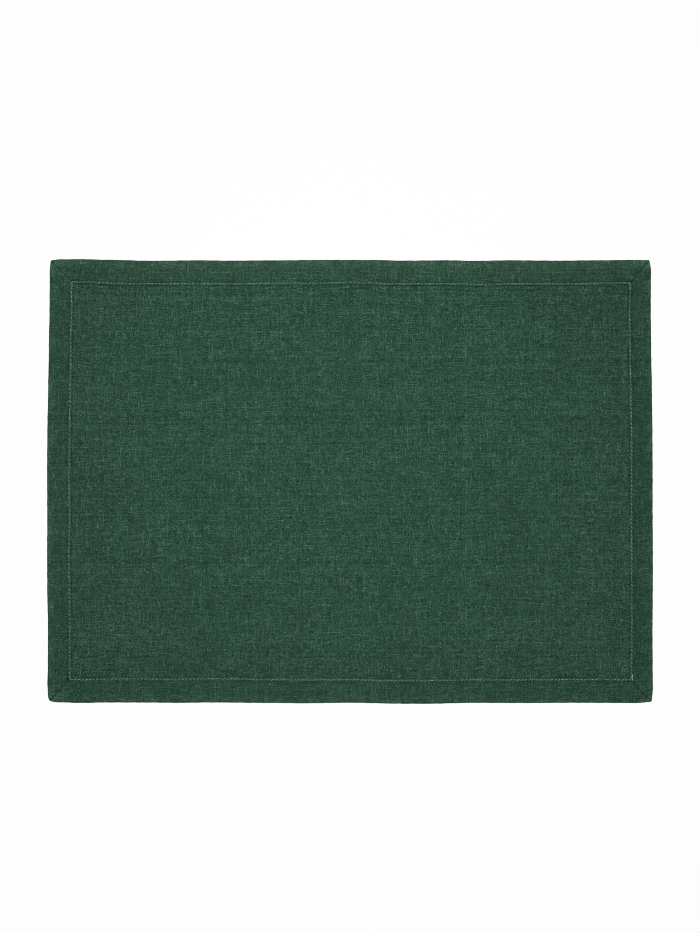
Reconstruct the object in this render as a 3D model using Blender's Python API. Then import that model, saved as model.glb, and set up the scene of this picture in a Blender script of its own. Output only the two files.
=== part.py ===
"""A linen placemat: one cut cloth whose edges are turned over twice and mitred, lying flat.

Metres, +Z up. The mat lies lengthwise along X with the turned side of its hem facing up. Its underside
rests on Z = 0, and the origin is at the middle of that underside.
"""

import math
from collections import namedtuple

import bmesh
import bpy
from mathutils import Matrix, Vector

MM = 0.001

# Driving dimensions, in millimetres.
MAT_WIDTH = 480.0
MAT_DEPTH = 351.6
CORNER_RADIUS = 1.3
PANEL_CLOTH = 1.0
PANEL_STEP = 17.0

# The hem is sewn by hand and eye, so each side has its own width, from outer fold to inner edge.
HEM_WIDTH = {"left": 18.7, "right": 18.1, "top": 19.7, "bottom": 19.9}

# The hem's section, a row for each line along it. Heights are those of the underside and of the top.
FoldRow = namedtuple("FoldRow", "inward underside top")
OUTER_FOLD = (
    FoldRow(0.0, 0.62, 1.08),
    FoldRow(0.3, 0.22, 1.42),
    FoldRow(0.8, 0.04, 1.62),
    FoldRow(1.6, 0.0, 1.72),
    FoldRow(4.0, 0.0, 1.84),
    FoldRow(9.0, 0.0, 2.00),
)
EdgeRow = namedtuple("EdgeRow", "outward top")
INNER_EDGE = (
    EdgeRow(5.0, 2.14),
    EdgeRow(2.5, 2.18),
    EdgeRow(1.3, 1.86),
    EdgeRow(0.6, 2.06),
    EdgeRow(0.15, 1.90),
    EdgeRow(0.0, 1.30),
    EdgeRow(-0.4, PANEL_CLOTH),
)

# How far each side stands out from a true rectangle, at places along it measured from the mat's middle.
Wander = namedtuple("Wander", "along out")
SIDE_WANDER = {
    "left": (
        Wander(-176, -1.1), Wander(-171.5, -0.05), Wander(-162, 0.4), Wander(-150, 0.05),
        Wander(-118, -0.1), Wander(-86, 0.5), Wander(-54, 0.6), Wander(-35, 0.45), Wander(-23, 0.5),
        Wander(9, 0.6), Wander(41, 0.4), Wander(73, -0.25), Wander(104, -0.75), Wander(136, -1.3),
        Wander(168, -1.5), Wander(176, -2.3),
    ),
    "right": (
        Wander(-176, -0.1), Wander(-165, 0.75), Wander(-150, 0.6), Wander(-118, 0.45), Wander(-102, 0.6),
        Wander(-70, 0.75), Wander(-54, 0.7), Wander(-23, 0.55), Wander(9, 0.55), Wander(41, 0.4),
        Wander(73, -0.05), Wander(104, -0.6), Wander(136, -0.95), Wander(169, -0.8), Wander(176, -1.9),
    ),
    "top": (
        Wander(-240, 0.1), Wander(-232, 0.75), Wander(-213, 0.85), Wander(-199, 0.45), Wander(-159, -0.4),
        Wander(-119, -0.05), Wander(-99, -0.3), Wander(-60, -0.1), Wander(-20, 0.25), Wander(20, 0.2),
        Wander(40, -0.3), Wander(80, -0.05), Wander(99, -0.5), Wander(127, -0.05), Wander(167, -0.3),
        Wander(199, -0.05), Wander(227, 0.2), Wander(240, 0.1),
    ),
    "bottom": (
        Wander(-240, -1.2), Wander(-234, -0.3), Wander(-213, 0.18), Wander(-195, -0.15), Wander(-159, -0.1),
        Wander(-139, 0.1), Wander(-110, -0.15), Wander(-60, 0.2), Wander(-40, 0.5), Wander(0, 0.02),
        Wander(40, 0.8), Wander(60, 0.85), Wander(99, 0.1), Wander(139, 0.25), Wander(179, 0.05),
        Wander(230, 0.25), Wander(240, -0.8),
    ),
}

# Long, low swells left in the cloth after pressing: their length across X and Y, and their height.
Swell = namedtuple("Swell", "length_x length_y turn height")
SWELLS = (
    Swell(210.0, 165.0, 0.6, 0.10),
    Swell(96.0, 128.0, 2.1, 0.06),
    Swell(61.0, 83.0, 4.0, 0.04),
)

# The mitre: a narrow groove where the two turned edges meet, from the corner to the row of stitches.
MITRE_HALF_ANGLE = math.radians(30)
MITRE_BOTTOM_AT_CORNER = 0.86
MITRE_BOTTOM_AT_STITCHES = 1.48
MITRE_OVERRUN = 3.0
MITRE_CUTTER_HEIGHT = 2.4
STITCHES_FROM_EDGE = 1.3

LINEN_COLOUR = (0.031, 0.075, 0.049, 1.0)
LINEN_ROUGHNESS = 0.88
SMOOTH_UNDER = math.radians(40)


def clear_scene():
    for existing in list(bpy.data.objects):
        bpy.data.objects.remove(existing, do_unlink=True)


def new_collection(name):
    collection = bpy.data.collections.new(name)
    bpy.context.scene.collection.children.link(collection)
    return collection


def linen_material():
    material = bpy.data.materials.new("linen")
    material.use_nodes = True
    shader = material.node_tree.nodes["Principled BSDF"]
    shader.inputs["Base Color"].default_value = LINEN_COLOUR
    shader.inputs["Roughness"].default_value = LINEN_ROUGHNESS
    shader.inputs["Metallic"].default_value = 0.0
    return material


def wander_out(side, along):
    """How far the side stands out at this place along it, eased from one row of its table to the next."""
    rows = SIDE_WANDER[side]
    if along <= rows[0].along:
        return rows[0].out
    for here, after in zip(rows, rows[1:]):
        if along <= after.along:
            share = (along - here.along) / (after.along - here.along)
            eased = share * share * (3 - 2 * share)
            return here.out + (after.out - here.out) * eased
    return rows[-1].out


def swell_height(x, y):
    total = 0.0
    for swell in SWELLS:
        wave = math.sin(2 * math.pi * x / swell.length_x + swell.turn)
        total += swell.height * wave * math.cos(2 * math.pi * y / swell.length_y)
    return total


def hem_rows(width):
    """(distance in from the outer fold, underside, top) for each line along a hem of this width."""
    rows = [(row.inward, row.underside, row.top) for row in OUTER_FOLD]
    rows += [(width - row.outward, 0.0, row.top) for row in INNER_EDGE]
    return rows


def grid_lines(span, low_side, high_side):
    """The places of the grid lines across the mat: close together over both hems, even over the panel."""
    low_lines = [inward - span / 2 for inward, _, _ in hem_rows(HEM_WIDTH[low_side])]
    high_lines = [span / 2 - inward for inward, _, _ in hem_rows(HEM_WIDTH[high_side])]
    panel = high_lines[-1] - low_lines[-1]
    steps = round(panel / PANEL_STEP)
    middle = [low_lines[-1] + panel * step / steps for step in range(1, steps)]
    return low_lines + middle + high_lines[::-1]


def round_corner(x, y):
    """Pulls the points of each corner's square onto a quarter disc, so that the corner is rounded."""
    from_centre_x = abs(x) - (MAT_WIDTH / 2 - CORNER_RADIUS)
    from_centre_y = abs(y) - (MAT_DEPTH / 2 - CORNER_RADIUS)
    if from_centre_x <= 0 or from_centre_y <= 0:
        return x, y
    share_x = from_centre_x / CORNER_RADIUS
    share_y = from_centre_y / CORNER_RADIUS
    round_x = from_centre_x * math.sqrt(1 - share_y ** 2 / 2)
    round_y = from_centre_y * math.sqrt(1 - share_x ** 2 / 2)
    corner_x = MAT_WIDTH / 2 - CORNER_RADIUS + round_x
    corner_y = MAT_DEPTH / 2 - CORNER_RADIUS + round_y
    return math.copysign(corner_x, x), math.copysign(corner_y, y)


def laid_out(x, y):
    """Moves a point of the true rectangle to where the uneven sides carry it."""
    right_share = x / MAT_WIDTH + 0.5
    top_share = y / MAT_DEPTH + 0.5
    x_round, y_round = round_corner(x, y)
    out_x = right_share * wander_out("right", y) - (1 - right_share) * wander_out("left", y)
    out_y = top_share * wander_out("top", x) - (1 - top_share) * wander_out("bottom", x)
    return x_round + out_x, y_round + out_y


def split_along_mitres(bm, at, last_column, last_row, rows_in_hem):
    """Splits the corner cells along the line where the two hems meet."""
    for step in range(rows_in_hem - 1):
        corner_cells = (
            ((step, step), (step + 1, step + 1)),
            ((last_column - step, step), (last_column - step - 1, step + 1)),
            ((step, last_row - step), (step + 1, last_row - step - 1)),
            ((last_column - step, last_row - step), (last_column - step - 1, last_row - step - 1)),
        )
        for outer, inner in corner_cells:
            shared = set(at[outer].link_faces) & set(at[inner].link_faces)
            bmesh.utils.face_split(shared.pop(), at[outer], at[inner])


def linen_cloth(collection, material):
    """The cloth as one solid: a grid, extruded, with each ring of points at its place in the hem's section."""
    x_lines = grid_lines(MAT_WIDTH, "left", "right")
    y_lines = grid_lines(MAT_DEPTH, "bottom", "top")
    last_column, last_row = len(x_lines) - 1, len(y_lines) - 1
    section = hem_rows(HEM_WIDTH["left"])

    bm = bmesh.new()
    bmesh.ops.create_grid(bm, x_segments=last_column, y_segments=last_row, size=1.0)

    def cell_of(vert):
        column = round((vert.co.x + 1) / 2 * last_column)
        row = round((vert.co.y + 1) / 2 * last_row)
        return column, row

    at = {cell_of(vert): vert for vert in bm.verts}
    split_along_mitres(bm, at, last_column, last_row, len(section))
    raised = bmesh.ops.extrude_face_region(bm, geom=bm.faces[:])["geom"]
    top_verts = {item for item in raised if isinstance(item, bmesh.types.BMVert)}
    for vert in bm.verts:
        column, row = cell_of(vert)
        ring = min(column, last_column - column, row, last_row - row, len(section) - 1)
        _, underside, top = section[ring]
        x, y = x_lines[column], y_lines[row]
        height = top + swell_height(x, y) if vert in top_verts else underside
        x_out, y_out = laid_out(x, y)
        vert.co = Vector((x_out, y_out, height)) * MM
    bmesh.ops.recalc_face_normals(bm, faces=bm.faces[:])

    xs = [vert.co.x for vert in bm.verts]
    ys = [vert.co.y for vert in bm.verts]
    middle = Vector(((min(xs) + max(xs)) / 2, (min(ys) + max(ys)) / 2, 0.0))
    bmesh.ops.translate(bm, verts=bm.verts[:], vec=-middle)

    mesh = bpy.data.meshes.new("linen_cloth")
    bm.to_mesh(mesh)
    bm.free()
    mesh.materials.append(material)
    mesh.shade_smooth()
    mesh.set_sharp_from_angle(angle=SMOOTH_UNDER)
    cloth = bpy.data.objects.new("linen_cloth", mesh)
    collection.objects.link(cloth)
    return cloth, middle


def mitre_cutter(name, side_x, side_y, middle, collection):
    """A long wedge, point down, that cuts the groove of one mitre."""
    sign_x = 1 if side_x == "right" else -1
    sign_y = 1 if side_y == "top" else -1
    stitch_x = sign_x * (MAT_WIDTH / 2 - HEM_WIDTH[side_x] + STITCHES_FROM_EDGE)
    stitch_y = sign_y * (MAT_DEPTH / 2 - HEM_WIDTH[side_y] + STITCHES_FROM_EDGE)
    corner_x, corner_y = laid_out(sign_x * MAT_WIDTH / 2, sign_y * MAT_DEPTH / 2)
    corner = Vector((corner_x, corner_y, MITRE_BOTTOM_AT_CORNER)) * MM - middle
    stitches = Vector((*laid_out(stitch_x, stitch_y), MITRE_BOTTOM_AT_STITCHES)) * MM - middle

    along = (stitches - corner).normalized()
    start = corner - along * MITRE_OVERRUN * MM
    length = (stitches - start).length
    height = MITRE_CUTTER_HEIGHT * MM
    radius = height / 1.5
    bm = bmesh.new()
    bmesh.ops.create_cone(bm, cap_ends=True, segments=3, radius1=radius, radius2=radius, depth=length)
    # A triangle's base is sqrt(3) radii wide and 1.5 radii from its point: narrowed to the groove's angle.
    narrow = math.tan(MITRE_HALF_ANGLE) * 1.5 / (math.sqrt(3) / 2)
    bmesh.ops.scale(bm, verts=bm.verts[:], vec=(narrow, 1.0, 1.0))
    bmesh.ops.translate(bm, verts=bm.verts[:], vec=(0.0, -radius, length / 2))

    down = (Vector((0, 0, -1)) + along * along.z).normalized()
    across = down.cross(along)
    turn = Matrix((across, down, along)).transposed().to_4x4()
    bmesh.ops.transform(bm, matrix=Matrix.Translation(start) @ turn, verts=bm.verts[:])
    bmesh.ops.recalc_face_normals(bm, faces=bm.faces[:])
    mesh = bpy.data.meshes.new(name)
    bm.to_mesh(mesh)
    bm.free()
    cutter = bpy.data.objects.new(name, mesh)
    cutter.hide_render = True
    cutter.display_type = "WIRE"
    collection.objects.link(cutter)


def groove_mitres(cloth, cutters):
    groove = cloth.modifiers.new("mitres", "BOOLEAN")
    groove.operation = "DIFFERENCE"
    groove.solver = "EXACT"
    groove.operand_type = "COLLECTION"
    groove.collection = cutters


def main():
    clear_scene()
    placemat = new_collection("linen_placemat")
    cutters = new_collection("mitre_cutters")
    cloth, middle = linen_cloth(placemat, linen_material())
    for side_x in ("left", "right"):
        for side_y in ("top", "bottom"):
            mitre_cutter(f"mitre_{side_y}_{side_x}", side_x, side_y, middle, cutters)
    groove_mitres(cloth, cutters)


main()
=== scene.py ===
# %% [markdown]
# # A linen placemat
#
# The mat is one rectangle of plain-weave linen. Its edges are turned over twice, the corners are
# mitred, and one row of stitches holds the hem. It lies flat with the turned side up.
#
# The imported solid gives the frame: every piece below is built round it, in metres, at its real size.

# %% Load the frame
import math
from collections import namedtuple
from functools import partialmethod

import bmesh
import bpy
import numpy as np
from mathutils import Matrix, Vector


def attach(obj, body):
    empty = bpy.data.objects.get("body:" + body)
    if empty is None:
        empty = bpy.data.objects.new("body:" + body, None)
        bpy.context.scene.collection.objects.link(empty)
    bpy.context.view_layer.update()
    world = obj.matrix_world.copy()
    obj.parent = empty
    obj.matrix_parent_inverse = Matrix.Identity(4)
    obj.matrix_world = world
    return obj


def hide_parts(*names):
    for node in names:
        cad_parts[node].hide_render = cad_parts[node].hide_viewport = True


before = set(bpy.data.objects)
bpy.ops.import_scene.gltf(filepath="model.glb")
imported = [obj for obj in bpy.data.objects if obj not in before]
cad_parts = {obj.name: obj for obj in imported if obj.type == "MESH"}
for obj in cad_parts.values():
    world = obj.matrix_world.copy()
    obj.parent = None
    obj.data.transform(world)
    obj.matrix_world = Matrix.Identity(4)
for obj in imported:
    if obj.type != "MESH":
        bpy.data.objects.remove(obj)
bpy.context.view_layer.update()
scene = bpy.context.scene
MM = 0.001


def add_to_scene(name, data):
    thing = bpy.data.objects.new(name, data)
    scene.collection.objects.link(thing)
    return thing


# %% [markdown]
# ## The mat's sizes
#
# The finished mat measures 480 by 352 mm. Each side of the hem was turned by hand, so it has its own
# width. The sides wander too: the tables say how far each one stands out from a true rectangle, at
# places along it, in millimetres. They are the same as in the solid.

# %% Sizes, in millimetres
WIDTH = 480.0
DEPTH = 351.6
CORNER_RADIUS = 1.3
TURN_IN = 6.0
STITCHES_FROM_EDGE = 1.3
HEM_WIDTH = {"left": 18.7, "right": 18.1, "top": 19.7, "bottom": 19.9}

Wander = namedtuple("Wander", "along out")
SIDE_WANDER = {
    "left": (
        Wander(-176, -1.1), Wander(-171.5, -0.05), Wander(-162, 0.4), Wander(-150, 0.05),
        Wander(-118, -0.1), Wander(-86, 0.5), Wander(-54, 0.6), Wander(-35, 0.45), Wander(-23, 0.5),
        Wander(9, 0.6), Wander(41, 0.4), Wander(73, -0.25), Wander(104, -0.75), Wander(136, -1.3),
        Wander(168, -1.5), Wander(176, -2.3),
    ),
    "right": (
        Wander(-176, -0.1), Wander(-165, 0.75), Wander(-150, 0.6), Wander(-118, 0.45), Wander(-102, 0.6),
        Wander(-70, 0.75), Wander(-54, 0.7), Wander(-23, 0.55), Wander(9, 0.55), Wander(41, 0.4),
        Wander(73, -0.05), Wander(104, -0.6), Wander(136, -0.95), Wander(169, -0.8), Wander(176, -1.9),
    ),
    "top": (
        Wander(-240, 0.1), Wander(-232, 0.75), Wander(-213, 0.85), Wander(-199, 0.45), Wander(-159, -0.4),
        Wander(-119, -0.05), Wander(-99, -0.3), Wander(-60, -0.1), Wander(-20, 0.25), Wander(20, 0.2),
        Wander(40, -0.3), Wander(80, -0.05), Wander(99, -0.5), Wander(127, -0.05), Wander(167, -0.3),
        Wander(199, -0.05), Wander(227, 0.2), Wander(240, 0.1),
    ),
    "bottom": (
        Wander(-240, -1.2), Wander(-234, -0.3), Wander(-213, 0.18), Wander(-195, -0.15), Wander(-159, -0.1),
        Wander(-139, 0.1), Wander(-110, -0.15), Wander(-60, 0.2), Wander(-40, 0.5), Wander(0, 0.02),
        Wander(40, 0.8), Wander(60, 0.85), Wander(99, 0.1), Wander(139, 0.25), Wander(179, 0.05),
        Wander(230, 0.25), Wander(240, -0.8),
    ),
}
SIDES = ("bottom", "right", "top", "left")

# %% [markdown]
# ## Camera
#
# The mat is seen from straight above, almost without perspective, so the camera stands well back with a
# long lens. The frame is upright and the mat lies a little below its middle. On an upright frame the
# sensor's size is that of the long side. The photo is crisp enough to show single threads, so each
# point of the picture gathers light from little more than its own square.

# %% Camera
FRAME_HEIGHT_MM = 741.5
CAMERA_DISTANCE = 1.6
NEAREST_SEEN = 0.05
SENSOR_MM = 36.0
VIEW_ABOVE_MIDDLE_MM = 11.9
POINT_SPREAD = 1.0


def overhead_camera():
    data = bpy.data.cameras.new("overhead_camera")
    data.sensor_width = SENSOR_MM
    data.lens = SENSOR_MM * CAMERA_DISTANCE / (FRAME_HEIGHT_MM * MM)
    data.clip_start = NEAREST_SEEN
    camera = add_to_scene("overhead_camera", data)
    camera.location = (0.0, VIEW_ABOVE_MIDDLE_MM * MM, CAMERA_DISTANCE)
    scene.camera = camera
    return camera


camera = overhead_camera()
scene.cycles.filter_width = POINT_SPREAD
print("lens:", round(camera.data.lens, 1), "mm")

# %% [markdown]
# ## Writing formulas as nodes
#
# Yarn and weave are worked out with many small sums. `Signal` lets them be written as plain formulas:
# each one adds a node to the tree and stands for its result.

# %% Formulas in a node tree
def feed(tree, socket, source):
    """Joins a signal or a socket to an input, or sets it to a plain value."""
    source = getattr(source, "socket", source)
    if isinstance(source, bpy.types.NodeSocket):
        tree.links.new(source, socket)
    else:
        socket.default_value = source


def add_node(tree, kind, inputs=(), **settings):
    """Adds a node with these settings and feeds its inputs, which are given by name or in order."""
    node = tree.nodes.new("ShaderNode" + kind)
    for name, value in settings.items():
        setattr(node, name, value)
    for key, source in inputs.items() if isinstance(inputs, dict) else enumerate(inputs):
        feed(tree, node.inputs[key], source)
    return node


class Signal:
    """A value inside a node tree that formulas can use like a number."""

    def __init__(self, tree, socket):
        self.tree = tree
        self.socket = socket

    def calc(self, operation, *others):
        node = add_node(self.tree, "Math", (self, *others), operation=operation)
        return Signal(self.tree, node.outputs[0])

    __add__ = partialmethod(calc, "ADD")
    __sub__ = partialmethod(calc, "SUBTRACT")
    __mul__ = partialmethod(calc, "MULTIPLY")
    __truediv__ = partialmethod(calc, "DIVIDE")
    floor = partialmethod(calc, "FLOOR")
    sine = partialmethod(calc, "SINE")
    root = partialmethod(calc, "SQRT")
    larger = partialmethod(calc, "MAXIMUM")
    smaller = partialmethod(calc, "MINIMUM")
    above = partialmethod(calc, "GREATER_THAN")

    def turned_from(self, number):
        return (self * -1.0) + number

    def eased_between(self, low, high):
        """Nothing below `low`, one above `high`, and eased in between."""
        inputs = {"Value": self, "From Min": low, "From Max": high}
        node = add_node(self.tree, "MapRange", inputs, interpolation_type="SMOOTHSTEP")
        return Signal(self.tree, node.outputs["Result"])

    def towards(self, other, share):
        """This value, moved part of the way to another."""
        node = add_node(self.tree, "Mix", {"Factor": share, "A": self, "B": other})
        return Signal(self.tree, node.outputs["Result"])


def parts_of(tree, vector):
    """The x and y of a vector, as two signals."""
    node = add_node(tree, "SeparateXYZ", (vector,))
    return Signal(tree, node.outputs["X"]), Signal(tree, node.outputs["Y"])


def vector_of(tree, x, y, z=0.0):
    return add_node(tree, "CombineXYZ", (x, y, z)).outputs[0]


def clouds(tree, vector, scale, detail=0.0):
    """Smooth noise: a signal around a half, and two more unlike it."""
    node = add_node(tree, "TexNoise", {"Vector": vector, "Scale": scale, "Detail": detail})
    split = add_node(tree, "SeparateColor", (node.outputs["Color"],))
    return [Signal(tree, socket) for socket in split.outputs]


def dice(tree, x, y):
    """An even chance between nothing and one, its own for each whole x and y."""
    node = add_node(tree, "TexWhiteNoise", noise_dimensions="2D")
    feed(tree, node.inputs["Vector"], vector_of(tree, x, y))
    return Signal(tree, node.outputs["Value"])


def new_group(name, inputs, outputs):
    """A shader node group with these sockets, its input signals and its output node."""
    tree = bpy.data.node_groups.new(name, "ShaderNodeTree")
    for label, kind, value in inputs:
        socket = tree.interface.new_socket(label, in_out="INPUT", socket_type=kind)
        if value is not None:
            socket.default_value = value
    for label, kind in outputs:
        tree.interface.new_socket(label, in_out="OUTPUT", socket_type=kind)
    entry = tree.nodes.new("NodeGroupInput")
    signals = {label: Signal(tree, entry.outputs[label]) for label, _, _ in inputs}
    return tree, signals, tree.nodes.new("NodeGroupOutput")


def map_place(tree, name):
    """The place on one of a mesh's maps."""
    return add_node(tree, "UVMap", uv_map=name).outputs["UV"]


def attribute(tree, name):
    """A value that a mesh carries at its points."""
    return Signal(tree, add_node(tree, "Attribute", attribute_name=name).outputs["Fac"])


def raise_surface(tree, shader, height, top_mm):
    """Lets a height between nothing and one stand out in the light, as if it rose this far."""
    bump = add_node(tree, "Bump", {"Strength": 1.0, "Distance": top_mm * MM, "Height": height})
    feed(tree, shader.inputs["Normal"], bump.outputs["Normal"])


def use_group(tree, group, **inputs):
    """Places a group in a tree. Input names are written with underscores for spaces."""
    named = {label.replace("_", " "): source for label, source in inputs.items()}
    node = add_node(tree, "Group", named, node_tree=group)
    return {socket.name: Signal(tree, socket) for socket in node.outputs}


FLOAT = "NodeSocketFloat"
VECTOR = "NodeSocketVector"
COLOUR = "NodeSocketColor"

# %% [markdown]
# ## Light and floor
#
# The photo is a studio shot on white. The stitches and the hem's inner edge throw their short shadows
# towards the bottom side, so a broad, soft sun stands half way up the sky beyond the top side. A soft
# lamp above makes the middle of the mat a shade lighter than its sides, and a pale sky fills the shadows.
# The white floor shows no shadow in the photo, as if it were lit from below, so the camera sees it nearly
# white whatever falls on it.

# %% Light and floor
SUN_ELEVATION = math.radians(52)
SUN_TURN = math.radians(-4)
SUN_STRENGTH = 1.6
SUN_ANGLE = math.radians(34)
LAMP_PLACE = (0.0, 0.06, 0.62)
LAMP_SIZE = 0.3
LAMP_POWER = 3.7
SUN_DISTANCE = 2.0
SKY_STRENGTH = 0.2
FLOOR_SIZE = 14.0
FLOOR_COLOUR = (0.92, 0.92, 0.92, 1.0)
FLOOR_ROUGHNESS = 0.9
FLOOR_GLOW = 0.983
FLOOR_GLOW_SHARE = 0.96


def soft_sun():
    data = bpy.data.lights.new("soft_sun", "SUN")
    data.energy = SUN_STRENGTH
    data.angle = SUN_ANGLE
    towards = Vector((
        -math.sin(SUN_TURN) * math.cos(SUN_ELEVATION),
        math.cos(SUN_TURN) * math.cos(SUN_ELEVATION),
        math.sin(SUN_ELEVATION),
    ))
    sun = add_to_scene("soft_sun", data)
    sun.rotation_euler = towards.to_track_quat("Z", "Y").to_euler()
    sun.location = towards * SUN_DISTANCE


def overhead_lamp():
    data = bpy.data.lights.new("overhead_lamp", "AREA")
    data.shape = "DISK"
    data.size = LAMP_SIZE
    data.energy = LAMP_POWER
    lamp = add_to_scene("overhead_lamp", data)
    lamp.location = LAMP_PLACE
    lamp.visible_camera = False


def pale_sky():
    world = bpy.data.worlds.new("pale_sky")
    world.use_nodes = True
    background = world.node_tree.nodes["Background"]
    background.inputs["Color"].default_value = (1.0, 1.0, 1.0, 1.0)
    background.inputs["Strength"].default_value = SKY_STRENGTH
    scene.world = world


def new_material(name, roughness, gloss):
    """A material, with its node tree and its shader."""
    material = bpy.data.materials.new(name)
    material.use_nodes = True
    shader = material.node_tree.nodes["Principled BSDF"]
    shader.inputs["Roughness"].default_value = roughness
    shader.inputs["Specular IOR Level"].default_value = gloss
    return material, material.node_tree, shader


def floor_material():
    material, tree, shader = new_material("floor_white", FLOOR_ROUGHNESS, 0.0)
    shader.inputs["Base Color"].default_value = FLOOR_COLOUR
    glow = add_node(tree, "Emission", {"Strength": FLOOR_GLOW})
    seen = Signal(tree, add_node(tree, "LightPath").outputs["Is Camera Ray"])
    mix = add_node(tree, "MixShader", (seen * FLOOR_GLOW_SHARE, shader.outputs[0], glow.outputs[0]))
    feed(tree, tree.nodes["Material Output"].inputs["Surface"], mix.outputs[0])
    return material


def pale_floor():
    bm = bmesh.new()
    bmesh.ops.create_grid(bm, x_segments=1, y_segments=1, size=FLOOR_SIZE / 2)
    mesh = bpy.data.meshes.new("floor")
    bm.to_mesh(mesh)
    bm.free()
    mesh.materials.append(floor_material())
    floor = add_to_scene("floor", mesh)


soft_sun()
overhead_lamp()
pale_sky()
pale_floor()
scene.view_settings.view_transform = "Standard"
scene.view_settings.look = "None"

# %% [markdown]
# ## Spun yarn
#
# Linen yarn and sewing thread are both spun from fibres that run slantwise round the yarn. The group
# takes a place on the yarn, along it and across it, both counted in yarn widths, and gives the small
# light and dark streaks of the fibres, with a matching height.

# %% Spun yarn group
FIBRE_SLANT = math.radians(24)
FIBRE_LENGTH = 2.2
FIBRES_ACROSS = 5.0
YARNS_APART = 900.0


def spun_yarn_group():
    tree, given, result = new_group(
        "spun_yarn",
        (("Along", FLOAT, 0.0), ("Across", FLOAT, 0.0), ("Number", FLOAT, 0.0)),
        (("Fibres", FLOAT),),
    )
    along, across = given["Along"], given["Across"]
    down_fibre = along * math.cos(FIBRE_SLANT) + across * math.sin(FIBRE_SLANT)
    over_fibre = across * math.cos(FIBRE_SLANT) - along * math.sin(FIBRE_SLANT)
    own_place = dice(tree, given["Number"], 0.0) * YARNS_APART
    place = vector_of(tree, down_fibre / FIBRE_LENGTH, over_fibre * FIBRES_ACROSS, own_place)
    feed(tree, result.inputs["Fibres"], clouds(tree, place, 1.0, detail=1.0)[0])
    return tree


spun_yarn = spun_yarn_group()

# %% [markdown]
# ## Plain weave
#
# In a plain weave each warp thread goes over one weft thread and under the next. The group counts the
# threads both ways across the cut cloth. Each thread bows up and down as it crosses the others, has a
# round top, and wanders and swells along its length, because linen yarn is never even. Where two threads
# cross, the higher one shows, and the small gaps between them are painted dark: a painted shade for the
# depth between threads. Some stretches of a thread are thicker and paler: these slubs give linen its short
# light lines. Here and there a single crossing has a pale knob, a nep.
#
# Three noises run along each thread, and each thread takes its own random place in them. The table says
# how fast each noise changes along the thread, counted in threads crossed, and where it starts. With a
# stagger, it also starts at another place along each thread. Without one, its cells keep step with the
# crossings, so that each crossing has a value of its own.

# %% Plain weave group
WARP_PITCH_MM = 0.68
WEFT_PITCH_MM = 0.66
THREAD_ROUNDNESS = 0.5
THREAD_BOW = 0.5
SPACING_SWING = 1.5
SWAY = 0.5
THREAD_SWING = 0.8
THREAD_WIDTH = 0.84
SLOW_WIDTH_SWING = 0.7
QUICK_WIDTH_SWING = 1.0
SLUB_WIDTH = 0.2
WIDEST_THREAD = 1.0
SLOW_TONE_SWING = 1.7
PALE_LEAN = 0.6
SLUB_RISE = (0.645, 0.69)
NEP_SHARE = 0.009
KNOB_RISE = (-0.2, 0.7)
FAR_BELOW = 2.0
ThreadNoise = namedtuple("ThreadNoise", "speed stagger start")
SLOW = ThreadNoise(0.06, 1.0, 0.0)
QUICK = ThreadNoise(1.0, 0.0, 4.0)
SLUBBED = ThreadNoise(0.07, 1.0, 8.0)


def along_thread(tree, noise, number, along, salt):
    """Noise that changes along a thread, and is another one on each thread."""
    start = salt + noise.start
    own_place = dice(tree, number, start) * YARNS_APART
    place_along = along * noise.speed + own_place * noise.stagger
    return clouds(tree, vector_of(tree, own_place, place_along, start), 1.0)


def threads_one_way(tree, given, contrast, number, along, across, salt):
    """The threads that run one way: how deep inside its thread each place lies, and the tone there."""
    slow = along_thread(tree, SLOW, number, along, salt)
    quick = along_thread(tree, QUICK, number, along, salt)
    slub = along_thread(tree, SLUBBED, number, along, salt)[0].eased_between(*SLUB_RISE)
    swing = (slow[1] - 0.5) * SLOW_WIDTH_SWING + (quick[1] - 0.5) * QUICK_WIDTH_SWING
    width = (swing + slub * SLUB_WIDTH + THREAD_WIDTH).smaller(WIDEST_THREAD)
    off = (across + (slow[0] - 0.5) * THREAD_SWING) * 2.0 / width
    fibres = use_group(tree, spun_yarn, Along=along, Across=across, Number=number + salt)["Fibres"]
    own = dice(tree, number, salt) - 0.5 + (slow[2] - 0.5) * SLOW_TONE_SWING
    yarn = (quick[2] - 0.5) * given["Yarn Contrast"]
    tone = own * contrast + yarn + yarn * yarn * PALE_LEAN
    tone = tone + (fibres - 0.5) * given["Fibre Contrast"] + slub * given["Slubs"]
    return (off * off).turned_from(1.0), tone


def crossing_height(inside, bow):
    """How high a thread stands: round across, bowed along, and far below the cloth beside it."""
    top = inside.larger(0.0).root() * THREAD_ROUNDNESS + bow * THREAD_BOW
    return top - inside.turned_from(0.0).above(0.0) * FAR_BELOW


def alternating(number):
    """One for even numbers and minus one for odd ones."""
    half = number * 0.5
    return (half - half.floor()) * -4.0 + 1.0


WARP_SALT = 1.0
WEFT_SALT = 5.0
SWAY_SCALE = 70.0
Streak = namedtuple("Streak", "x y start")
SPACING = Streak(80.0, 18.0, 3.7)
BEATING = Streak(18.0, 270.0, 8.1)
SHADE_RISE = (0.1, 0.8)
SHADE_MIDDLE = 0.8
MEAN_SQUARED_CHANCE = 1 / 3
TONE_IN_HEIGHT = 0.1


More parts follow.
